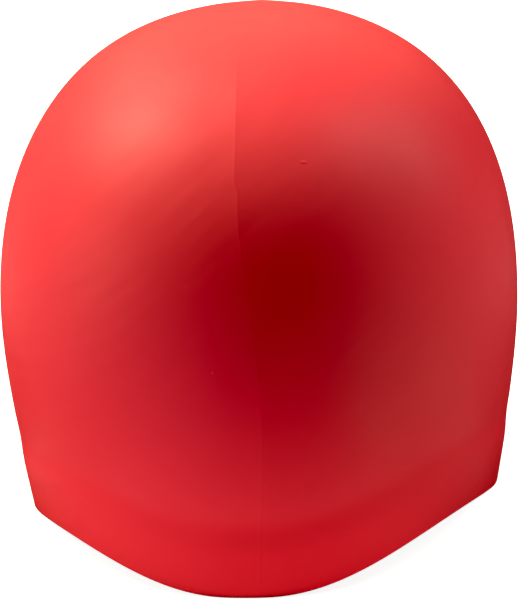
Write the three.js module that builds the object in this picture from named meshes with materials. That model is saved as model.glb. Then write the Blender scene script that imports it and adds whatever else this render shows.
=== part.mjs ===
// A swim cap moulded in one piece of silicone: a hollow dome that rests on its rim.
// Millimetres, +Z up. X runs from ear to ear, the nape faces -Y and the forehead +Y.
// The origin is on the floor, under the middle of the cap.
import * as THREE from "three";

// The widest ring round the head, which is the cap's waist
const CAP_WIDTH = 150; // ear side to ear side
const CAP_LENGTH = 186; // nape side to forehead side
const WAIST_HEIGHT = 62; // floor to the waist
const WIDEST_BACK = 6; // the widest place lies this far behind the middle

// The crown above the waist
const CAP_HEIGHT = 144; // floor to the top, without the parting ridge
const CROWN_BACK = 6; // the top lies this far behind the middle
const CROWN_FULLNESS = 0.052; // share by which the shoulders stand outside an ellipsoid

// The wall below the waist, which narrows towards the rim to grip the head
const SIDE_TUCK = 7.8; // how far the rim lies inside the waist at each ear
const END_TUCK = 6; // the same at the nape and the forehead
const WAIST_TURN = 4; // softness of the bend at the waist: 0 would be a sharp one

// The rim, which rests on the floor at the nape, the ears and the forehead and arches up between
const EAR_ANGLE = 104; // degrees round the cap from the nape to the ear's low point
const REST_ANGLE = 5; // degrees of level rim to each side of a low point
const NAPE_ARCH = 11.5; // height of the arch between the nape and each ear
const FRONT_ARCH = 6; // height of the arch between each ear and the forehead

// The silicone
const WALL = 1.2; // thickness of the plain wall
const BAND_HEIGHT = 22; // height of the thicker band along the rim
const BAND_SWELL = 0.35; // how far the band stands proud of the wall
const BAND_SHOULDER = 7; // height over which that step fades away
const SEAM_WIDTH = 7; // the mould's parting ridge, over the crown from nape to forehead
const SEAM_HEIGHT = 0.35; // how far the ridge stands proud

// The columns of points round one half of the cap, from the nape to the forehead
const ARCS = [
  { until: REST_ANGLE, steps: 4 },
  { until: EAR_ANGLE - REST_ANGLE, steps: 12 },
  { until: EAR_ANGLE + REST_ANGLE, steps: 2 },
  { until: 180 - REST_ANGLE, steps: 10 },
  { until: 180, steps: 4 },
];

// The rings of points, from the rim upwards
const BAND_STEPS = 3;
const SHOULDER_STEPS = 4;
const WALL_STEPS = 4;
const DOME_STEPS = 13;

// Heights above the rim between which the band's step fades away
const SHOULDER_LOW = BAND_HEIGHT - BAND_SHOULDER / 2;
const SHOULDER_HIGH = BAND_HEIGHT + BAND_SHOULDER / 2;

// The ring of the waist at an angle from the nape, drawn smaller all round by inset
function waistPoint(angle, inset) {
  const x = (CAP_WIDTH / 2 - inset) * Math.sin(angle);
  const y = -(CAP_LENGTH / 2 - inset) * Math.cos(angle) - WIDEST_BACK * Math.sin(angle) ** 2;
  return new THREE.Vector2(x, y);
}

// Height of the rim above the floor at an angle from the nape
function rimHeight(angle) {
  const rest = THREE.MathUtils.degToRad(REST_ANGLE);
  const ear = THREE.MathUtils.degToRad(EAR_ANGLE);
  const around = Math.min(angle, 2 * Math.PI - angle);
  const behindEar = around < ear;
  const start = behindEar ? rest : ear + rest;
  const end = behindEar ? ear - rest : Math.PI - rest;
  const along = THREE.MathUtils.clamp((around - start) / (end - start), 0, 1);
  return (behindEar ? NAPE_ARCH : FRONT_ARCH) * Math.sin(Math.PI * along) ** 2;
}

// The wall below the waist: a hyperbola that leaves the waist upright and leans in below it
function wallPoint(angle, height, inset) {
  const tuck = SIDE_TUCK * Math.sin(angle) ** 2 + END_TUCK * Math.cos(angle) ** 2;
  const lean = Math.sqrt((tuck + WAIST_TURN) ** 2 - WAIST_TURN ** 2) / WAIST_HEIGHT;
  const inward = Math.hypot(WAIST_TURN, lean * (WAIST_HEIGHT - height)) - WAIST_TURN;
  const plan = waistPoint(angle, inset);
  plan.setLength(plan.length() - inward);
  return new THREE.Vector3(plan.x, plan.y, height);
}

// The crown: climb goes from 0 at the waist to a quarter turn at the top
function domePoint(angle, climb, inset) {
  const full = 1 + CROWN_FULLNESS * Math.sin(2 * climb) ** 2;
  const plan = waistPoint(angle, inset).multiplyScalar(full * Math.cos(climb));
  const rise = (CAP_HEIGHT - WAIST_HEIGHT - inset) * full * Math.sin(climb);
  return new THREE.Vector3(plan.x, plan.y - CROWN_BACK * Math.sin(climb) ** 2, WAIST_HEIGHT + rise);
}

// A ring is a function of the angle and the inset, so that the outside and the inside share it
function capRings() {
  const rings = [];
  const aboveRim = (rise) => (angle, inset) => wallPoint(angle, rimHeight(angle) + rise, inset);
  for (let i = 0; i < BAND_STEPS; i++) {
    rings.push(aboveRim((SHOULDER_LOW * i) / BAND_STEPS));
  }
  for (let i = 0; i < SHOULDER_STEPS; i++) {
    rings.push(aboveRim(SHOULDER_LOW + (BAND_SHOULDER * i) / SHOULDER_STEPS));
  }
  for (let i = 0; i < WALL_STEPS; i++) {
    rings.push((angle, inset) => {
      const low = rimHeight(angle) + SHOULDER_HIGH;
      return wallPoint(angle, THREE.MathUtils.lerp(low, WAIST_HEIGHT, i / WALL_STEPS), inset);
    });
  }
  for (let i = 0; i < DOME_STEPS; i++) {
    const climb = ((Math.PI / 2) * i) / DOME_STEPS;
    rings.push((angle, inset) => domePoint(angle, climb, inset));
  }
  return rings;
}

// How far the rim band and the parting ridge stand proud of the plain wall at a point of it
function relief(point, angle) {
  const aboveRim = point.z - rimHeight(angle);
  const shoulder = THREE.MathUtils.smoothstep(aboveRim, SHOULDER_LOW, SHOULDER_HIGH);
  const fromSeam = Math.min(Math.abs(point.x) / (SEAM_WIDTH / 2), 1);
  const ridge = SEAM_HEIGHT * Math.cos((Math.PI / 2) * fromSeam) ** 2;
  return BAND_SWELL * (1 - shoulder) + ridge;
}

// Angles of all the columns, once round from the nape
function columnAngles() {
  const half = [0];
  for (const arc of ARCS) {
    const start = half[half.length - 1];
    for (let i = 1; i <= arc.steps; i++) {
      half.push(THREE.MathUtils.lerp(start, arc.until, i / arc.steps));
    }
  }
  const otherHalf = half.slice(1, -1).map((degrees) => 360 - degrees).reverse();
  return [...half, ...otherHalf].map(THREE.MathUtils.degToRad);
}

// One closed skin: the outside, the inside, the underside of the rim between them, and both tops
function shellGeometry() {
  const angles = columnAngles();
  const rings = capRings();
  const count = angles.length;
  const positions = [];
  const outsideOf = (inner, outer, angle) => {
    const outward = outer.clone().sub(inner).normalize();
    return outer.clone().addScaledVector(outward, relief(outer, angle));
  };
  for (const ring of rings) {
    for (const angle of angles) {
      const inner = ring(angle, WALL);
      positions.push(...outsideOf(inner, ring(angle, 0), angle), ...inner);
    }
  }
  const innerTop = domePoint(0, Math.PI / 2, WALL);
  const outerTop = outsideOf(innerTop, domePoint(0, Math.PI / 2, 0), 0);
  const top = positions.length / 3;
  positions.push(...outerTop, ...innerTop);

  const OUTSIDE = 0;
  const INSIDE = 1;
  const vertex = (ring, column, side) => (ring * count + (column % count)) * 2 + side;
  const faces = [];
  const quad = (a, b, c, d) => faces.push(a, b, c, a, c, d);
  for (let column = 0; column < count; column++) {
    const next = column + 1;
    quad(vertex(0, column, INSIDE), vertex(0, next, INSIDE), vertex(0, next, OUTSIDE), vertex(0, column, OUTSIDE));
    for (let ring = 0; ring < rings.length - 1; ring++) {
      const up = ring + 1;
      quad(
        vertex(ring, column, OUTSIDE),
        vertex(ring, next, OUTSIDE),
        vertex(up, next, OUTSIDE),
        vertex(up, column, OUTSIDE),
      );
      quad(
        vertex(ring, next, INSIDE),
        vertex(ring, column, INSIDE),
        vertex(up, column, INSIDE),
        vertex(up, next, INSIDE),
      );
    }
    const last = rings.length - 1;
    faces.push(vertex(last, column, OUTSIDE), vertex(last, next, OUTSIDE), top + OUTSIDE);
    faces.push(vertex(last, next, INSIDE), vertex(last, column, INSIDE), top + INSIDE);
  }
  const geometry = new THREE.BufferGeometry();
  geometry.setAttribute("position", new THREE.Float32BufferAttribute(positions, 3));
  geometry.setIndex(faces);
  geometry.computeVertexNormals();
  return geometry;
}

// Red silicone from a blasted mould: satin, with no print
const SILICONE_RED = 0xd3262c;
const silicone = new THREE.MeshStandardMaterial({ color: SILICONE_RED, roughness: 0.45, metalness: 0 });

const capShell = new THREE.Mesh(shellGeometry(), silicone);
capShell.name = "cap_shell";

const swimCap = new THREE.Group();
swimCap.add(capShell);

export default swimCap;
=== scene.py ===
# %% [markdown]
# # A moulded silicone swim cap, rebuilt in cells
#
# The object is one piece of soft silicone: a hollow dome that stands on its rim, seen from behind
# and a little above. Its looks come from three quiet things: a large smooth form, a satin skin
# without print, and two marks of its mould, which are a low parting ridge over the crown and a
# thicker band along the rim. The whole scene is built round those.
#
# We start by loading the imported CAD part. It gives the frame that every piece here shares: metres,
# +Z up, the nape facing -Y and the forehead +Y, with the floor at zero.

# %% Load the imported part
import math

import bpy
import numpy as np
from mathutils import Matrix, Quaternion, Vector


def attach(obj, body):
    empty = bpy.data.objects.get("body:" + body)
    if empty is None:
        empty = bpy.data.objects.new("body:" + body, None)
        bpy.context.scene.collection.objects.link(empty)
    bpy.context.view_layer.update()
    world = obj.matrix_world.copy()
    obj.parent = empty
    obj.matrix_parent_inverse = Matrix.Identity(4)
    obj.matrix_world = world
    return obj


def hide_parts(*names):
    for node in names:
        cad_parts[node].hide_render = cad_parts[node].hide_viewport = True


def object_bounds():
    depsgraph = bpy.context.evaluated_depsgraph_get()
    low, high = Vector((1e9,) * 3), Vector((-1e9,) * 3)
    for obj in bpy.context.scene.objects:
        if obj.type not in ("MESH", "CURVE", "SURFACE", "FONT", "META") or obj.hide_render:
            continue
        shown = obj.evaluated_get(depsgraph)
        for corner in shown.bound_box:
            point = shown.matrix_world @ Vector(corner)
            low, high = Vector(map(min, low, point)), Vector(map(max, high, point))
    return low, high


MM = 0.001  # one millimetre in Blender's metres

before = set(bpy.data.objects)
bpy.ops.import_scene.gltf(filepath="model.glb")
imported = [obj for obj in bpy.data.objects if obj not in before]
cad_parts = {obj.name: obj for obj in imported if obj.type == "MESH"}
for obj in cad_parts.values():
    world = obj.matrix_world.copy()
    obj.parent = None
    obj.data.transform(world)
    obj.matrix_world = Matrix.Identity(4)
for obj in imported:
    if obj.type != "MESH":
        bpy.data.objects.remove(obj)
cad_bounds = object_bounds()
cad_size = cad_bounds[1] - cad_bounds[0]
print("The packed cap measures", [round(side / MM, 1) for side in cad_size], "mm.")

# %% [markdown]
# ## The camera
#
# A product picture like this one is taken from far away with a long lens, so that the form isn't
# stretched. The camera stands behind the cap, a little to the right of the nape and about twenty
# degrees above the rim. It is turned two degrees about its own axis, because the real cap leans
# that much in its picture. Depth of field stays off, so that the whole skin is sharp.
#
# The lens could be typed in, but it is easier to say what the picture has to take in: the height
# of the view at the cap, in millimetres. The focal length then follows from the distance.

# %% Place the camera
CAMERA_AZIMUTH = 4.5  # degrees round from the nape, towards the right ear
CAMERA_ELEVATION = 19.6  # degrees above the floor
CAMERA_ROLL = -2.0  # degrees about the line of sight; negative turns the picture's content left
CAMERA_DISTANCE = 1500  # mm
VIEW_HEIGHT = 175.6  # mm seen from the picture's bottom to its top, at the cap
VIEW_TARGET = (-0.4, 0.0, 57.8)  # mm, the point in the middle of the picture
NEAREST_SEEN = 0.1  # metres from the camera
FARTHEST_SEEN = 50.0  # metres from the camera


def direction(azimuth, elevation):
    """A unit vector from the cap outwards. Azimuth 0 is behind the nape, 90 beyond the right ear."""
    around, up = math.radians(azimuth), math.radians(elevation)
    return Vector((math.sin(around) * math.cos(up), -math.cos(around) * math.cos(up), math.sin(up)))


towards_camera = direction(CAMERA_AZIMUTH, CAMERA_ELEVATION)
lens = bpy.data.cameras.new("long_lens")
lens.lens = lens.sensor_width * CAMERA_DISTANCE / VIEW_HEIGHT
lens.clip_start = NEAREST_SEEN
lens.clip_end = FARTHEST_SEEN
lens.dof.use_dof = False
camera = bpy.data.objects.new("camera", lens)
camera.location = Vector(VIEW_TARGET) * MM + towards_camera * CAMERA_DISTANCE * MM
camera.rotation_mode = "QUATERNION"
look = (-towards_camera).to_track_quat("-Z", "Y")
camera.rotation_quaternion = look @ Quaternion((0, 0, 1), math.radians(CAMERA_ROLL))
bpy.context.scene.collection.objects.link(camera)
bpy.context.scene.camera = camera
print(f"The lens is {lens.lens:.0f} mm long, {camera.location.z:.2f} m above the floor.")

# %% [markdown]
# ## The form of the cap
#
# The form could be sculpted from a sphere, or drawn as a few profile curves and lofted. Formulas
# are better here. The CAD source describes the cap with a few of them, and using the same ones
# keeps the looks where the solid is. They describe three things: the ring of the waist, where the
# cap is widest; the wall below it, which tucks in to grip the head; and the crown above. The solid
# is symmetric. Here the rim arches a little differently on the left and on the right, as a soft cap
# does that stands slightly turned.
#
# Each function takes whole arrays, so that one call gives every point of the mesh. The angle goes
# round the cap from the nape, and the inset draws the same shape smaller, for the inside.

# %% Sizes of the cap, in millimetres
CAP_WIDTH = 150  # ear side to ear side
CAP_LENGTH = 186  # nape side to forehead side
CAP_HEIGHT = 144  # floor to crown
WAIST_HEIGHT = 62  # floor to the widest ring
WIDEST_BACK = 6  # the widest place lies this far behind the middle
CROWN_BACK = 6  # the top lies this far behind the middle
CROWN_FULLNESS = 0.052  # share by which the shoulders stand outside an ellipsoid
SIDE_TUCK = 7.7  # how far the rim lies inside the waist at each ear
END_TUCK = 6  # the same at the nape and the forehead
WAIST_TURN = 4  # softness of the bend at the waist
REST_ANGLE = 5  # degrees of level rim to each side of a low point
LEFT_EAR_ANGLE = 101  # degrees round from the nape to the left ear's low point
LEFT_NAPE_ARCH = 9.4  # height of the rim's arch between the nape and the left ear
RIGHT_EAR_ANGLE = 113  # the same on the right
RIGHT_NAPE_ARCH = 12.3  # the right side arches a little higher
FRONT_ARCH = 6  # height of the rim's arch between each ear and the forehead
WALL = 1.2  # thickness of the silicone
QUARTER_TURN = math.pi / 2


def waist_ring(angle, inset):
    """Plan of the widest ring: x and y at each angle."""
    x = (CAP_WIDTH / 2 - inset) * np.sin(angle)
    y = -(CAP_LENGTH / 2 - inset) * np.cos(angle) - WIDEST_BACK * np.sin(angle) ** 2
    return x, y


def rim_height(angle):
    """Height of the rim above the floor: level at the nape, ears and forehead, arched between."""
    rest = math.radians(REST_ANGLE)
    on_right = np.sin(angle) > 0
    ear = np.radians(np.where(on_right, RIGHT_EAR_ANGLE, LEFT_EAR_ANGLE))
    nape_arch = np.where(on_right, RIGHT_NAPE_ARCH, LEFT_NAPE_ARCH)
    around = np.arccos(np.cos(angle))
    behind_ear = around < ear
    start = np.where(behind_ear, rest, ear + rest)
    end = np.where(behind_ear, ear - rest, math.pi - rest)
    along = np.clip((around - start) / (end - start), 0, 1)
    return np.where(behind_ear, nape_arch, FRONT_ARCH) * np.sin(math.pi * along) ** 2


def wall_points(angle, height, inset):
    """The wall below the waist, a hyperbola that leaves the waist upright and leans in."""
    tuck = SIDE_TUCK * np.sin(angle) ** 2 + END_TUCK * np.cos(angle) ** 2
    lean = np.sqrt((tuck + WAIST_TURN) ** 2 - WAIST_TURN**2) / WAIST_HEIGHT
    inward = np.hypot(WAIST_TURN, lean * (WAIST_HEIGHT - height)) - WAIST_TURN
    x, y = waist_ring(angle, inset)
    share = 1 - inward / np.hypot(x, y)
    return np.stack([x * share, y * share, height], axis=-1)


def crown_points(angle, climb, inset):
    """The crown above the waist; climb runs from 0 to a quarter turn at the top."""
    full = 1 + CROWN_FULLNESS * np.sin(2 * climb) ** 2
    x, y = waist_ring(angle, inset)
    share = full * np.cos(climb)
    rise = (CAP_HEIGHT - WAIST_HEIGHT - inset) * full * np.sin(climb)
    back = CROWN_BACK * np.sin(climb) ** 2
    return np.stack([x * share, y * share - back, WAIST_HEIGHT + rise], axis=-1)


left_arch = float(rim_height(math.radians(-LEFT_EAR_ANGLE / 2)))
right_arch = float(rim_height(math.radians(RIGHT_EAR_ANGLE / 2)))
print(f"Behind the ears the rim stands {left_arch:.1f} and {right_arch:.1f} mm above the floor.")

# %% [markdown]
# ## The parting ridge's path
#
# The mould closes along the middle of the cap and leaves a ridge there, from the nape over the
# crown to the forehead. On a rigid part it would be straight. Soft silicone never stands quite
# true, so the real line wanders a few millimetres: to the right at the nape, and back over the
# crown. A short table of heights draws that wander, and a moving average rounds its corners. Just
# below the crown the line makes a small jog, where the two halves of the mould miss each other.
#
# The mesh has to follow the ridge, or its sharp crest would run across the faces and break into
# steps. So the columns of the mesh are turned about the cap until one of them lies on the ridge.
# The turn fades towards the ears, and close to the top, where all the columns meet.

# %% Where the ridge runs
RIDGE_PATH = [  # mm above the floor, and mm to the right of the middle
    (0, 2.6),
    (20, 3.8),
    (40, 5.0),
    (56, 5.4),
    (66, 5.2),
    (77, 4.0),
    (92, 1.8),
    (100, 0.8),
    (108, -0.2),
    (115, -0.3),
    (124, -0.3),
    (130, -0.6),
    (135, -1.1),
    (144, -1.6),
]
RIDGE_ROUNDING = (-4, -2, 0, 2, 4)  # mm above and below a height, over which the path is averaged
RIDGE_JOG = 0.9  # mm by which the mould's halves miss each other below the crown
RIDGE_JOG_HEIGHTS = (114.2, 116.2)  # mm above the floor, between which the line makes that jog
RIDGE_FRONT_SHARE = -0.4  # at the forehead it wanders less, and the other way
POLE_CALM = 14  # mm from the top over which the turn of the columns fades out


def smoothstep(value, low, high):
    """0 below low, 1 above high, and a soft turn between them."""
    share = np.clip((value - low) / (high - low), 0, 1)
    return share * share * (3 - 2 * share)


def ridge_side(height):
    """How far to the right the ridge lies behind the head, at a height above the floor."""
    heights, sides = zip(*RIDGE_PATH)
    nearby = [np.interp(height + shift, heights, sides) for shift in RIDGE_ROUNDING]
    rounded = sum(nearby) / len(RIDGE_ROUNDING)
    return rounded + RIDGE_JOG * (1 - smoothstep(height, *RIDGE_JOG_HEIGHTS))


def follow_ridge(angle, height, half_width):
    """Turns the columns so that one lies on the ridge at the nape and one on it at the forehead."""
    side = ridge_side(height) * smoothstep(half_width, 0, POLE_CALM)
    turn_behind = np.arcsin(np.clip(side / half_width, -1, 1))
    turn_ahead = np.arcsin(np.clip(-RIDGE_FRONT_SHARE * side / half_width, -1, 1))
    return angle + turn_behind * np.cos(angle / 2) ** 4 + turn_ahead * np.sin(angle / 2) ** 4


print(f"At the waist the ridge lies {float(ridge_side(WAIST_HEIGHT)):.1f} mm to the right.")

# %% [markdown]
# ## What stands proud of the plain wall
#
# Two low reliefs carry the whole character of the cap. The band along the rim is thicker, so that
# it grips without tearing. It ends in a soft shoulder with a shallow groove above it, which catch a
# bright line and a dark one, and thins a little from there to the rim, so that its own face leans
# down. The parting ridge is a shallow roof with a crisp crest, and the mould's gap leaves a
# hair-thin flash on it. On the crown its two slopes catch the light differently, and near the rim
# they all but fade away. Both could be bump textures, but they are real shapes, so they are in the
# mesh.

# %% Heights of the band and the ridge
BAND_HEIGHT = 18  # mm above the rim, where the middle of the shoulder lies
BAND_SHOULDER = 9  # mm of height over which the step fades away
BAND_SWELL = 0.32  # mm that the band is thicker than the wall, just below its shoulder
RIM_SWELL = 0.15  # mm that it is still thicker at the rim
GROOVE_HEIGHT = 23  # mm above the rim, where a shallow groove runs along the shoulder
GROOVE_REACH = 8  # mm from its middle to its edges
GROOVE_DEPTH = 0.12  # mm
RIDGE_HEIGHT = 0.24  # mm at the crest of the shallow roof
RIDGE_REACH = 8.0  # mm from the crest to the foot of its slope
FLASH_HEIGHT = 0.03  # mm of the hair-thin flash that the mould's gap leaves on the crest
FLASH_REACH = 0.6  # mm from the crest to the foot of the flash
RIDGE_STRENGTH = [  # mm above the floor, and the shares of the roof's and the flash's height there
    (0, 0.0, 0.0),
    (5, 0.2, 3.0),
    (25, 0.2, 3.0),
    (38, 1.1, 1.0),
    (62, 1.1, 0.8),
    (76, 0.4, 0.4),
    (102, 0.4, 0.6),
    (112, 1.0, 0.9),
    (137, 1.0, 0.4),
    (141, 0.3, 0.2),
    (144, 0.3, 0.2),
]


def band_relief(above_rim):
    """The swelling of the rim band at a height above the rim."""
    half = BAND_SHOULDER / 2
    shoulder = 1 - smoothstep(above_rim, BAND_HEIGHT - half, BAND_HEIGHT + half)
    share = np.clip(above_rim / (BAND_HEIGHT - half), 0, 1)
    across_groove = np.clip((above_rim - GROOVE_HEIGHT) / GROOVE_REACH, -1, 1)
    groove = GROOVE_DEPTH * np.cos(QUARTER_TURN * across_groove) ** 2
    return (RIM_SWELL + (BAND_SWELL - RIM_SWELL) * share) * shoulder - groove


def ridge_relief(beside, height):
    """The ridge's roof and flash, so far beside its crest and so high above the floor."""
    heights, roof_shares, flash_shares = zip(*RIDGE_STRENGTH)
    roof = np.clip(1 - beside / RIDGE_REACH, 0, 1) ** 2 * np.interp(height, heights, roof_shares)
    flash = np.clip(1 - beside / FLASH_REACH, 0, 1) * np.interp(height, heights, flash_shares)
    return RIDGE_HEIGHT * roof + FLASH_HEIGHT * flash


print(f"The ridge's crest is {float(ridge_relief(0, WAIST_HEIGHT)):.2f} mm high at the waist.")

# %% [markdown]
# ## How true it stands
#
# A soft cap that stands on its rim is never quite even: one shoulder is a little fuller, the other
# a little slack. Sculpting would do it by eye. Here each such place is a row of a table: where it
# is, how far it spreads over the form, and how far the wall stands out or in there. It stays
# under a millimetre, so that the cap keeps the CAD's size.

# %% Soft unevenness
UNEVEN_COLUMNS = ("place", "azimuth", "elevation", "spread", "outwards")  # degrees, and mm
UNEVEN_PLACES = [
    ("right shoulder", 80, 38, 34, 0.9),
    ("left shoulder", -84, 38, 22, -0.45),
    ("crown", 45, 76, 24, -0.3),
    ("upper left", -112, 54, 20, 0.6),
    ("upper right", 100, 50, 18, 0.35),
]


def unevenness(outward):
    """How far the wall stands out of true, from the direction in which each point of it faces."""
    total = np.zeros(outward.shape[:-1])
    for row in UNEVEN_PLACES:
        place = dict(zip(UNEVEN_COLUMNS, row))
        towards = np.array(direction(place["azimuth"], place["elevation"]))
        turned = np.degrees(np.arccos(np.clip(outward @ towards, -1, 1)))
        total += place["outwards"] * np.exp(-((turned / place["spread"]) ** 2))
    return total


print(len(UNEVEN_PLACES), "places where the cap stands out of true.")

# %% [markdown]
# ## Columns and rings of the mesh
#
# A mesh that is even everywhere would need a million faces to show a crest one millimetre wide. So
# the columns stand close together beside the ridge, and each next one stands a little further on,
# until they reach the spacing that the smooth wall needs. The rings are even.

# %% Choose the columns
FINEST_COLUMN = 0.25  # mm between columns at the crest
WIDEST_COLUMN = 2.1  # mm between columns on the plain wall
COLUMN_GROWTH = 1.16  # each gap is this much wider than the last


def quarter_angles():
    """Angles of the columns from a ridge to the ear, close beside the ridge and wider further on."""
    mean_radius = (CAP_WIDTH + CAP_LENGTH) / 4
    angles, gap = [0.0], FINEST_COLUMN
    while angles[-1] < QUARTER_TURN:
        angles.append(angles[-1] + gap / mean_radius)
        gap = min(gap * COLUMN_GROWTH, WIDEST_COLUMN)
    return np.array(angles[:-1]) * QUARTER_TURN / angles[-1]


quarter = quarter_angles()
half_turn = np.concatenate([quarter, [QUARTER_TURN], math.pi - quarter[:0:-1]])
columns = np.concatenate([half_turn, half_turn + math.pi])
print(len(columns), "columns round the cap.")

# %% [markdown]
# ## One closed skin
#
# Silicone has a real thickness, and its rim shows it. So the mesh is a closed skin: the outside,
# a round lip along the rim, and the inside. A Solidify modifier could thicken a single surface,
# but here both sides come from the same formulas, so that the wall is exactly as thick as the CAD
# says and the lip is a true half circle.

# %% Work out the rings
WALL_RINGS = 44
CROWN_RINGS = 88
FLOOR_GAP = 0.02  # mm, so that the rounded lip just clears the floor
LIP_ROOM = (WALL + RIM_SWELL) / 2 + FLOOR_GAP  # mm from the lowest ring down to the rim


def wall_rings(inset):
    """Points of the wall from the rim up, ring by ring, and the angle of each."""
    share, around = np.meshgrid(np.linspace(0, 1, WALL_RINGS, endpoint=False), columns, indexing="ij")
    height_on_level_rim = LIP_ROOM + (WAIST_HEIGHT - LIP_ROOM) * share
    angle = follow_ridge(around, height_on_level_rim, CAP_WIDTH / 2)
    low = rim_height(angle) + LIP_ROOM
    return wall_points(angle, low + (WAIST_HEIGHT - low) * share, inset), angle


def crown_rings(inset):
    """Points of the crown from the waist to just below the top, and the angle of each."""
    climbs = np.linspace(0, QUARTER_TURN, CROWN_RINGS, endpoint=False)
    climb, around = np.meshgrid(climbs, columns, indexing="ij")
    height_above_floor = WAIST_HEIGHT + (CAP_HEIGHT - WAIST_HEIGHT) * np.sin(climb)
    angle = follow_ridge(around, height_above_floor, CAP_WIDTH / 2 * np.cos(climb))
    return crown_points(angle, climb, inset), angle


def skin(inset):
    """One side of the cap: the points of its rings, their angles, and the top."""
    (wall, wall_angle), (crown, crown_angle) = wall_rings(inset), crown_rings(inset)
    top = crown_points(np.array(0.0), np.array(QUARTER_TURN), inset)
    return np.concatenate([wall, crown]), np.concatenate([wall_angle, crown_angle]), top


plain_outside, angles, plain_top = skin(0)
plain_inside, _, plain_inside_top = skin(WALL)
print(len(plain_outside), "rings on the outside.")

# %% [markdown]
# The plain skin is now pushed outwards, along the line from its inside to its outside. The band and
# the ridge move the outside alone, and the unevenness moves both sides, so that the wall keeps its
# thickness. We also note how far each point belongs to the band, because the band has a finish of
# its own.

# %% Add the relief
INSIDE_STRIDE = 2  # the inside is plain, so it takes every second ring
BAND_FINISH_EDGE = (20, 26)  # mm above the rim, between which the band's duller finish fades out

outward = plain_outside - plain_inside
outward /= np.linalg.norm(outward, axis=-1, keepdims=True)
sideways, height = plain_outside[..., 0], plain_outside[..., 2]
at_nape, at_forehead = sideways[:, :1], sideways[:, len(half_turn)][:, None]
beside_ridge = np.abs(sideways - np.where(np.cos(columns) > 0, at_nape, at_forehead))
above_rim = height - rim_height(angles)
relief = band_relief(above_rim) + ridge_relief(beside_ridge, height)
band_share = 1 - smoothstep(above_rim, *BAND_FINISH_EDGE)
out_of_true = unevenness(outward)
outside = plain_outside + outward * (relief + out_of_true)[..., None]
top_shift = out_of_true[-1].mean()
outside_top = plain_top + np.array([0, 0, ridge_relief(0, CAP_HEIGHT) + top_shift])
inside = (plain_inside + outward * out_of_true[..., None])[::INSIDE_STRIDE]
inside_top = plain_inside_top + np.array([0, 0, top_shift])
print(f"The relief is {relief.min():.2f} to {relief.max():.2f} mm high.")

# %% [markdown]
# The rim comes out of the mould with a round edge, so that it doesn't cut into the skin. A bevel
# would do here, but a half circle from the outside's lowest ring to the inside's is one formula.

# %% Round the lip
LIP_STEPS = 8  # segments round the half circle of the rim's edge


def lip_rings():
    """Rings of the half circle that joins the outside's lowest ring to the inside's."""
    middle = (outside[0] + inside[0]) / 2
    across = (outside[0] - inside[0]) / 2
    radius = np.linalg.norm(across, axis=-1, keepdims=True)
    turns = np.linspace(0, math.pi, LIP_STEPS + 1)[1:-1]
    sideways_share = across / radius
    down = np.array([0, 0, -1.0]) + sideways_share * sideways_share[..., 2:]
    down /= np.linalg.norm(down, axis=-1, keepdims=True)
    rings = [middle + across * math.cos(turn) + down * radius * math.sin(turn) for turn in turns]
    return np.array(rings)


lip = lip_rings()
print(f"The lip is {np.linalg.norm(outside[0, 0] - inside[0, 0]):.2f} mm thick at the nape.")

# %% [markdown]
# The rings are stacked in the order in which a finger would follow the skin: down the outside,
# round the lip and up the inside. Neighbours are joined with quads, and a fan of triangles closes
# each top. The mesh rides on the part's one body and takes the place of the CAD node.

# %% Join everything into one mesh
def build_mesh(name):
    """One closed mesh: down the outside from the top, round the lip, and up the inside."""
    rings = np.concatenate([outside[::-1], lip, inside])
    ring_count, column_count = rings.shape[:2]
    points = np.concatenate([rings.reshape(-1, 3), [outside_top, inside_top]]) * MM
    index = np.arange(ring_count * column_count).reshape(ring_count, column_count)
    after = np.roll(index, -1, axis=1)
    quads = np.stack([index[:-1], index[1:], after[1:], after[:-1]], axis=-1).reshape(-1, 4)
    outer_pole, inner_pole = len(points) - 2, len(points) - 1
    faces = quads.tolist()
    faces += [(outer_pole, a, b) for a, b in zip(index[0].tolist(), after[0].tolist())]
    faces += [(inner_pole, b, a) for a, b in zip(index[-1].tolist(), after[-1].tolist())]
    mesh = bpy.data.meshes.new(name)
    mesh.from_pydata(points.tolist(), [], faces)
    mesh.shade_smooth()
    all_of_lip = np.ones((len(lip), column_count))
    share = np.concatenate([band_share[::-1], all_of_lip, band_share[::INSIDE_STRIDE]])
    none_at_tops = np.zeros(2)
    band = mesh.attributes.new("band", "FLOAT", "POINT")
    band.data.foreach_set("value", np.concatenate([share.ravel(), none_at_tops]).astype(np.float32))
    return mesh


cap = bpy.data.objects.new("silicone_cap", build_mesh("silicone_cap"))
bpy.context.scene.collection.objects.link(cap)
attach(cap, "root")
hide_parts("cap_shell")
cap.data.calc_loop_triangles()
print(f"The cap's skin has {len(cap.data.loop_triangles)} triangles.")

# %% [markdown]
# ## Colours and nodes
#
# Colours are read off a screen as sRGB hex values, but Blender mixes light in linear values. One
# function turns one into the other. A second small function adds a shader node together with its
# settings and its links, so that each material below reads as a list of what it is made of.


# %% Two helpers for materials
def linear(hex_colour):
    """An sRGB hex colour as Blender's linear colour with alpha."""
    channels = [int(hex_colour[i : i + 2], 16) / 255 for i in (0, 2, 4)]
    return (*[c / 12.92 if c <= 0.04045 else ((c + 0.055) / 1.055) ** 2.4 for c in channels], 1.0)


MIX_A, MIX_B, MIX_RESULT = 6, 7, 2  # where Blender's Mix node keeps its sockets for colours


def add_node(tree, kind, settings=None, sockets=None):
    """Adds a node. Settings are its own properties; sockets take a value or another node's output."""
    node = tree.nodes.new(kind)
    for name, value in (settings or {}).items():
        setattr(node, name, value)
    for name, value in (sockets or {}).items():
        if isinstance(value, bpy.types.NodeSocket):
            tree.links.new(value, node.inputs[name])
        else:
            node.inputs[name].default_value = value
    return node


def texture_scale(size_mm):
    """The scale of a texture in object coordinates whose features are this many millimetres wide."""
    return 1 / (size_mm * MM)


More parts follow.
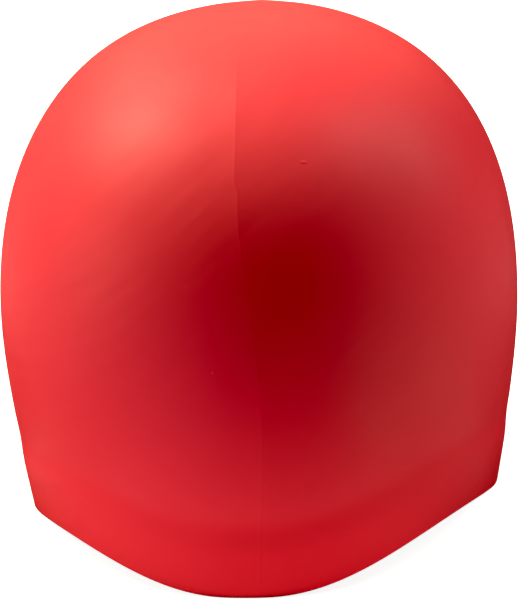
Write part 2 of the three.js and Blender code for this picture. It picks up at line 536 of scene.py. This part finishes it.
print("A middle grey of 808080 is", round(linear("808080")[0], 3), "in linear light.")

# %% [markdown]
# ## Flow streaks and small marks
#
# The silicone sets inside a closed mould, and where it flowed in at a slant the skin keeps very
# faint streaks. The mould and handling leave a few marks of a millimetre or two: a nick, a pimple, a
# pale double speck. None is deeper than two hairs are thick, so a bump is right for them, and the
# mesh stays plain. Three of them also get pale pink in their middle. On the pimple that pink is a
# painted highlight, the bright spot that its bump alone doesn't give.
#
# The streaks are a noise that is stretched along the flow. A drawn texture would need the skin to be
# unwrapped, and a noise in object space does not.

# %% Flow streaks
STREAK_WIDTH = 4.0  # mm from one streak to the next
STREAK_STRETCH = 7.0  # times longer than wide
STREAK_TURN = 38  # degrees from level, rising to the right behind the nape
STREAK_DEPTH = 0.16  # mm from the top to the bottom of a streak


def flow_streaks(tree, place, normal):
    """Faint slanting streaks on top of a normal; gives back the new normal."""
    wide = STREAK_WIDTH * MM
    long = wide * STREAK_STRETCH
    own_space = add_node(
        tree,
        "ShaderNodeMapping",
        {"vector_type": "TEXTURE"},
        {
            "Vector": place,
            "Rotation": (0, -math.radians(STREAK_TURN), 0),
            "Scale": (long, long, wide),
        },
    )
    streak = add_node(
        tree,
        "ShaderNodeTexNoise",
        sockets={"Vector": own_space.outputs["Vector"], "Scale": 1.0, "Detail": 1.0},
    )
    bump = add_node(
        tree,
        "ShaderNodeBump",
        sockets={
            "Height": streak.outputs["Fac"],
            "Distance": STREAK_DEPTH * MM,
            "Strength": 1.0,
            "Normal": normal,
        },
    )
    return bump.outputs["Normal"]


print(f"Each streak is about {STREAK_WIDTH * STREAK_STRETCH:.0f} mm long.")

# %% [markdown]
# Each mark is a row of a table. A Mapping node turns object space into the mark's own space, where
# it is a ball of radius one, so that the distance from its middle gives the height straight away.

# %% Small marks
MARK_COLUMNS = ("name", "place", "half_size", "turn", "height", "paleness")  # mm and degrees about Y
MARKS = [
    ("nick", (18.5, -69.1, 122.7), (1.4, 2.5, 0.45), -6, 0.12, 0.0),
    ("nick_beside", (3.0, -80.4, 113.0), (1.0, 2.5, 0.25), 0, 0.04, 0.0),
    ("double_speck_left", (-14.1, -87.8, 93.4), (0.22, 2.5, 0.6), 0, 0.03, 0.1),
    ("double_speck_right", (-13.2, -87.9, 93.4), (0.22, 2.5, 0.6), 0, 0.03, 0.1),
    ("pimple", (-6.8, -92.5, 69.7), (0.55, 2.5, 0.55), 0, 0.06, 0.12),
    ("dent_low_left", (-36.9, -82.2, 54.3), (0.8, 2.5, 0.6), 20, -0.03, 0.0),
    ("dent_far_left", (-61.4, -56.4, 49.8), (0.7, 2.5, 0.9), 0, -0.04, 0.0),
    ("scratch", (-31.8, -45.3, 132.3), (0.9, 2.5, 0.35), -40, -0.05, 0.0),
    ("smooth_spot", (6.4, -91.1, 35.7), (1.3, 2.5, 1.0), 0, 0.03, 0.02),
]
PALE_SPECK_AND_HIGHLIGHT_PINK = "FFB0A4"  # pale pink mixed into the middle of some marks; on the pimple it is a painted highlight


def small_marks(tree, place, normal, colour):
    """The nicks and specks of the table on top of a normal and a colour; gives back both."""
    for row in MARKS:
        mark = dict(zip(MARK_COLUMNS, row))
        own_space = add_node(
            tree,
            "ShaderNodeMapping",
            {"vector_type": "TEXTURE", "label": mark["name"]},
            {
                "Vector": place,
                "Location": Vector(mark["place"]) * MM,
                "Rotation": (0, -math.radians(mark["turn"]), 0),
                "Scale": Vector(mark["half_size"]) * MM,
            },
        )
        from_middle = add_node(
            tree,
            "ShaderNodeVectorMath",
            {"operation": "LENGTH"},
            {0: own_space.outputs["Vector"]},
        )
        mound = add_node(
            tree,
            "ShaderNodeMapRange",
            {"interpolation_type": "SMOOTHSTEP"},
            {"Value": from_middle.outputs["Value"], "To Min": 1.0, "To Max": 0.0},
        )
        bump = add_node(
            tree,
            "ShaderNodeBump",
            {"invert": mark["height"] < 0},
            {
                "Height": mound.outputs["Result"],
                "Distance": abs(mark["height"]) * MM,
                "Strength": 1.0,
                "Normal": normal,
            },
        )
        normal = bump.outputs["Normal"]
        # Pale pink mixed into the mark's middle: a pale speck, and on the pimple a painted highlight.
        if mark["paleness"]:
            share = add_node(
                tree,
                "ShaderNodeMapRange",
                sockets={"Value": mound.outputs["Result"], "To Max": mark["paleness"]},
            )
            pale = add_node(
                tree,
                "ShaderNodeMix",
                {"data_type": "RGBA"},
                {"Factor": share.outputs["Result"], MIX_A: colour, MIX_B: linear(PALE_SPECK_AND_HIGHLIGHT_PINK)},
            )
            colour = pale.outputs[MIX_RESULT]
    return normal, colour


print(len(MARKS), "small marks on the skin.")

# %% [markdown]
# ## Pigmented silicone from a blasted mould
#
# Silicone is clear as glass by itself. A few percent of pigment makes it a deep, saturated red, in
# which light still travels a millimetre or two before it comes out again. Its refractive index of
# 1.41 is low, so that it reflects little when seen straight on. The mould was blasted with fine
# glass beads, and the skin carries that print: it is satin, and a softbox shows in it as a pale
# veil with soft edges, not as a mirror image. The band is duller still.
#
# Subsurface scattering could carry the light inside the wall. It would spread it by a few pixels at
# this size, which hardly shows on so smooth a form, so a plain base colour gives the red instead.

# %% The silicone
PIGMENT_RED = "E14752"  # the pigment where the batch is even
PIGMENT_DEEP = "DE4450"  # where it is a little denser
SILICONE_IOR = 1.41
SATIN_SPECULAR = 0.165  # well under the usual 0.5, because a blasted skin scatters most of its sheen
BAND_SPECULAR = 0.06  # the same on the band, which is blasted more coarsely and shows less sheen
SATIN_ROUGHNESS = (0.44, 0.50)  # from the most rubbed places to the freshest ones
NOISE_REACH = (0.35, 0.65)  # a noise seldom leaves this range
RUBBED_PATCH = 18  # mm, the size of the places that handling has smoothed
PIGMENT_CLOUD = 26  # mm, the size of the faint clouds that stirring leaves in the batch
BLAST_GRAIN = 0.45  # mm; real beads leave 0.1 mm pits, drawn coarser so that a render can show them
BLAST_DEPTH = 0.004  # mm from the top to the bottom of a pit


def silicone_material():
    material = bpy.data.materials.new("pigmented_silicone_blasted")
    material.use_nodes = True
    tree = material.node_tree
    tree.nodes.clear()
    place = add_node(tree, "ShaderNodeTexCoord").outputs["Object"]
    cloud = add_node(
        tree,
        "ShaderNodeTexNoise",
        sockets={"Vector": place, "Scale": texture_scale(PIGMENT_CLOUD), "Detail": 2.0},
    )
    pigment = add_node(
        tree,
        "ShaderNodeMix",
        {"data_type": "RGBA"},
        {"Factor": cloud.outputs["Fac"], MIX_A: linear(PIGMENT_RED), MIX_B: linear(PIGMENT_DEEP)},
    )
    grain = add_node(
        tree,
        "ShaderNodeTexNoise",
        sockets={"Vector": place, "Scale": texture_scale(BLAST_GRAIN), "Detail": 3.0},
    )
    pits = add_node(
        tree,
        "ShaderNodeBump",
        sockets={"Height": grain.outputs["Fac"], "Distance": BLAST_DEPTH * MM, "Strength": 1.0},
    )
    streaks = flow_streaks(tree, place, pits.outputs["Normal"])
    marks, marked_pigment = small_marks(tree, place, streaks, pigment.outputs[MIX_RESULT])
    patch = add_node(
        tree,
        "ShaderNodeTexNoise",
        sockets={"Vector": place, "Scale": texture_scale(RUBBED_PATCH), "Detail": 2.0},
    )
    rubbed = add_node(
        tree,
        "ShaderNodeMapRange",
        sockets={
            "Value": patch.outputs["Fac"],
            "From Min": NOISE_REACH[0],
            "From Max": NOISE_REACH[1],
            "To Min": SATIN_ROUGHNESS[0],
            "To Max": SATIN_ROUGHNESS[1],
        },
    )
    band = add_node(tree, "ShaderNodeAttribute", {"attribute_name": "band"})
    sheen = add_node(
        tree,
        "ShaderNodeMapRange",
        sockets={"Value": band.outputs["Fac"], "To Min": SATIN_SPECULAR, "To Max": BAND_SPECULAR},
    )
    shader = add_node(
        tree,
        "ShaderNodeBsdfPrincipled",
        sockets={
            "Base Color": marked_pigment,
            "Roughness": rubbed.outputs["Result"],
            "IOR": SILICONE_IOR,
            "Specular IOR Level": sheen.outputs["Result"],
            "Normal": marks,
        },
    )
    add_node(tree, "ShaderNodeOutputMaterial", sockets={"Surface": shader.outputs["BSDF"]})
    return material


cap.data.materials.append(silicone_material())
print("The cap wears", cap.data.materials[0].name + ".")

# %% [markdown]
# ## The floor
#
# The cap stands on a plain white table. It is one wide disc that isn't part of the object, of matt
# white acrylic that is lit from below, as a product table is: that keeps it white, and leaves just
# a faint shadow under the rim.
#
# Its light would also reach the cap, and far too much of it, because the disc has one brightness
# everywhere and a real table falls off towards its edges. So the cap doesn't see this disc. The
# cards, after the softboxes, stand in for the part of the table that the real cap saw.

# %% Lay the floor
FLOOR_RADIUS = 6.0  # metres
FLOOR_CORNERS = 128  # enough for the disc's edge to look round
FLOOR_WHITE = "EEEEEE"
FLOOR_ROUGHNESS = 0.9
LAMP_WHITE = "FFFFFF"  # the light from below
FLOOR_GLOW = 0.9  # its strength, where 1 is white by itself


def lay_floor():
    turns = np.linspace(0, 2 * math.pi, FLOOR_CORNERS, endpoint=False)
    corners = [(FLOOR_RADIUS * math.cos(turn), FLOOR_RADIUS * math.sin(turn), 0.0) for turn in turns]
    mesh = bpy.data.meshes.new("studio_floor")
    mesh.from_pydata(corners, [], [list(range(len(corners)))])
    acrylic = bpy.data.materials.new("matt_acrylic_lit_from_below")
    acrylic.use_nodes = True
    shader = acrylic.node_tree.nodes["Principled BSDF"]
    shader.inputs["Base Color"].default_value = linear(FLOOR_WHITE)
    shader.inputs["Roughness"].default_value = FLOOR_ROUGHNESS
    shader.inputs["Emission Color"].default_value = linear(LAMP_WHITE)
    shader.inputs["Emission Strength"].default_value = FLOOR_GLOW
    mesh.materials.append(acrylic)
    floor = bpy.data.objects.new("studio_floor", mesh)
    bpy.context.scene.collection.objects.link(floor)
    floor.visible_diffuse = False
    floor.visible_glossy = False


lay_floor()
print(f"The floor is {2 * FLOOR_RADIUS:.0f} m wide.")

# %% [markdown]
# ## The softboxes
#
# The cap is lit by large softboxes to the left and to the right, most of them a little beyond it as
# the camera sees it, with the stronger ones on the left. Nothing shines from where the camera
# stands. That is why the skin is darkest where it faces the camera, and glows towards every edge.
# They are faintly yellow, as warm studio lamps are, which turns the red on the left towards orange.

# %% Hang the softboxes
SOFTBOX_COLUMNS = ("name", "azimuth", "elevation", "watts", "colour")  # degrees, from the nape and up
SOFTBOXES = [
    ("left", -105, 50, 30.2, "FFFAD3"),
    ("left_back", -135, 50, 16.6, "FFFAD3"),
    ("left_low", -75, 6, 9.6, "FFFAD3"),
    ("right", 110, 50, 15.1, "FFF2E2"),
    ("right_low", 110, 28, 6.3, "FFF2E2"),
    ("back_left", -165, 25, 1.9, "FFEFA8"),
    ("back_right", 168, 25, 1.4, "FFEFA8"),
]
SOFTBOX_SIDE = 0.9  # metres
SOFTBOX_DISTANCE = 1.6  # metres from the cap
AIM_HEIGHT = 70  # mm: they point at the middle of the cap


def hang_softbox(box):
    lamp = bpy.data.lights.new("softbox_" + box["name"], "AREA")
    lamp.shape = "SQUARE"
    lamp.size = SOFTBOX_SIDE
    lamp.energy = box["watts"]
    lamp.color = linear(box["colour"])[:3]
    holder = bpy.data.objects.new(lamp.name, lamp)
    away = direction(box["azimuth"], box["elevation"])
    holder.location = Vector((0, 0, AIM_HEIGHT * MM)) + away * SOFTBOX_DISTANCE
    holder.rotation_mode = "QUATERNION"
    holder.rotation_quaternion = away.to_track_quat("Z", "Y")
    holder.visible_camera = False
    bpy.context.scene.collection.objects.link(holder)


for row in SOFTBOXES:
    hang_softbox(dict(zip(SOFTBOX_COLUMNS, row)))
print(len(SOFTBOXES), "softboxes,", round(sum(row[3] for row in SOFTBOXES), 1), "watts together.")

# %% [markdown]
# ## What the table throws back
#
# A white table is the largest lamp under any object. One even disc would light every side alike, so
# here it is made of glowing cards that lie on the floor round the cap and that only the cap sees.
# Each is a sector of a ring. Most are pink, as white things are beside a red one. The brightest lies
# close behind the nape and lights the lower wall. On the right, two cool ones put a pale veil on
# the skin, and the edge of the first of them is the veil's left edge.

# %% Lay the cards
CARD_COLUMNS = ("name", "inner", "outer", "start", "end", "glow", "colour")  # metres and degrees
FAR_PINK = "FFCAE8"  # the far part of the table
NEAR_PINK = "FFCAC4"  # close to the cap, whose own red reaches it
COOL_WHITE = "CBFFDC"  # a part that daylight reaches
CARDS = [
    ("nape_edge", 0.088, 0.115, -45, 45, 1.35, NEAR_PINK),
    ("nape_near", 0.115, 0.15, -45, 36, 2.32, NEAR_PINK),
    ("nape_middle_left", 0.15, 0.22, -45, -5, 1.2, FAR_PINK),
    ("nape_middle_right", 0.15, 0.4, -5, 36, 0.1, FAR_PINK),
    ("nape_far_left", 0.22, 0.4, -45, -5, 1.0, FAR_PINK),
    ("nape_outer", 0.4, 0.9, -45, 45, 1.3, FAR_PINK),
    ("right_edge", 0.088, 0.115, 45, 90, 0.75, NEAR_PINK),
    ("right_near", 0.115, 0.14, 54, 90, 0.3, NEAR_PINK),
    ("right_stripe", 0.13, 0.4, 38, 54, 2.0, COOL_WHITE),
    ("right_middle", 0.14, 0.25, 54, 88, 1.3, COOL_WHITE),
    ("right_far", 0.25, 0.4, 54, 90, 0.7, NEAR_PINK),
    ("right_outer", 0.4, 0.9, 45, 90, 1.3, NEAR_PINK),
    ("right_front", 0.22, 0.9, 90, 140, 0.8, NEAR_PINK),
    ("left_edge", 0.088, 0.115, -90, -45, 1.13, NEAR_PINK),
    ("left_near", 0.115, 0.22, -90, -45, 0.4, NEAR_PINK),
    ("left_middle", 0.22, 0.4, -90, -45, 0.65, FAR_PINK),
    ("left_outer", 0.4, 0.9, -90, -45, 1.4, FAR_PINK),
    ("left_front", 0.22, 0.9, -140, -90, 0.8, NEAR_PINK),
]
CARD_LIFT = 0.05  # mm above the floor
CARD_STEPS = 24  # segments along each arc


def lay_card(card):
    turns = np.radians(np.linspace(card["start"], card["end"], CARD_STEPS + 1))
    edge = [(math.sin(turn), -math.cos(turn)) for turn in turns]
    reaches = (card["inner"], card["outer"])
    points = [(x * reach, y * reach, CARD_LIFT * MM) for reach in reaches for x, y in edge]
    across = CARD_STEPS + 1
    faces = [(i, i + across, i + across + 1, i + 1) for i in range(CARD_STEPS)]
    mesh = bpy.data.meshes.new("card_" + card["name"])
    mesh.from_pydata(points, [], faces)
    glow = bpy.data.materials.new(mesh.name)
    glow.use_nodes = True
    glow.node_tree.nodes.clear()
    lit = add_node(
        glow.node_tree,
        "ShaderNodeEmission",
        sockets={"Color": linear(card["colour"]), "Strength": card["glow"]},
    )
    add_node(glow.node_tree, "ShaderNodeOutputMaterial", sockets={"Surface": lit.outputs["Emission"]})
    mesh.materials.append(glow)
    holder = bpy.data.objects.new(mesh.name, mesh)
    holder.visible_camera = False
    holder.visible_shadow = False
    bpy.context.scene.collection.objects.link(holder)


for row in CARDS:
    lay_card(dict(zip(CARD_COLUMNS, row)))
print(len(CARDS), "cards on the floor.")

# %% [markdown]
# The room itself stays dark, so that every light on the skin comes from a softbox or a card.

# %% Darken the room
ROOM_LIGHT = 0.0
world = bpy.data.worlds.new("dark_studio")
bpy.context.scene.world = world
world.use_nodes = True
world.node_tree.nodes["Background"].inputs["Strength"].default_value = ROOM_LIGHT
print("The room gives", ROOM_LIGHT, "light.")

# %% [markdown]
# ## Colour
#
# Blender's usual view softens strong colours towards white. A product picture keeps a red pure up to
# the point where it clips, so the plain sRGB view is used, without a look. The picture also has firm
# blacks: its darkest red has almost no green or blue left. A raised black point does that, which is
# the light that the view shows as black.

# %% Set the view
BLACK_POINT = 0.0246  # in linear light, where white is 1
view = bpy.context.scene.view_settings
view.view_transform = "Standard"
view.look = "None"
view.use_curve_mapping = True
view.curve_mapping.black_level = (BLACK_POINT, BLACK_POINT, BLACK_POINT)
print("The view is", view.view_transform + ".")
